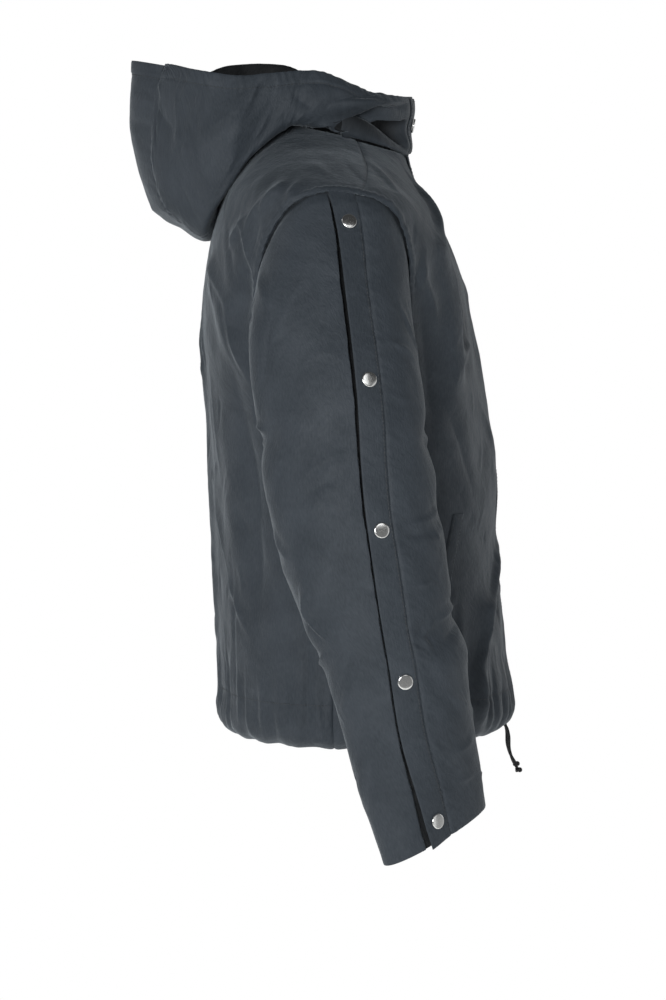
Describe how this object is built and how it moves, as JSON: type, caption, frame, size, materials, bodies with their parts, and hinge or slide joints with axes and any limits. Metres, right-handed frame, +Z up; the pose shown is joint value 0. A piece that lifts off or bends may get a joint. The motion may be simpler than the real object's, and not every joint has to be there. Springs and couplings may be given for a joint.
{
  "type": "hooded snap-front jacket",
  "caption": "Hip-length hooded jacket in its worn form, hollow and open at neck, hem and cuffs, with a snap placket down the front and the whole length of each sleeve.",
  "frame": {"origin": "the middle of the neck base, in the plane of the neckline's side points, where the wearer's shoulders and neck carry the garment", "axes": "+Z up, the front faces -Y, the wearer's right is -X"},
  "size_m": [0.6444, 0.3915, 0.7542],
  "materials": {
    "cloth": "dark charcoal crinkled nylon with a dull satin shine",
    "snap": "polished silver metal cap, slightly domed",
    "cord": "black braided drawcord, matt"
  },
  "bodies": {
    "root": {"back": "cloth", "front_left": "cloth", "front_right": "cloth", "front_placket": "cloth", "pocket_welt_right": "cloth", "pocket_welt_left": "cloth", "sleeve_right_front": "cloth", "sleeve_right_back": "cloth", "sleeve_right_placket": "cloth", "sleeve_left_front": "cloth", "sleeve_left_back": "cloth", "sleeve_left_placket": "cloth", "hood_right": "cloth", "hood_left": "cloth", "hood_gusset": "cloth", "throat_tab": "cloth", "snap_sleeve_right_1": "snap", "snap_sleeve_right_2": "snap", "snap_sleeve_right_3": "snap", "snap_sleeve_right_4": "snap", "snap_sleeve_right_5": "snap", "snap_sleeve_left_1": "snap", "snap_sleeve_left_2": "snap", "snap_sleeve_left_3": "snap", "snap_sleeve_left_4": "snap", "snap_sleeve_left_5": "snap", "snap_front_1": "snap", "snap_front_2": "snap", "snap_front_3": "snap", "snap_front_4": "snap", "snap_front_5": "snap", "snap_throat": "snap", "drawcord_right": "cord", "drawcord_left": "cord", "knot_right": "cord", "knot_left": "cord"}
  },
  "joints": []
}
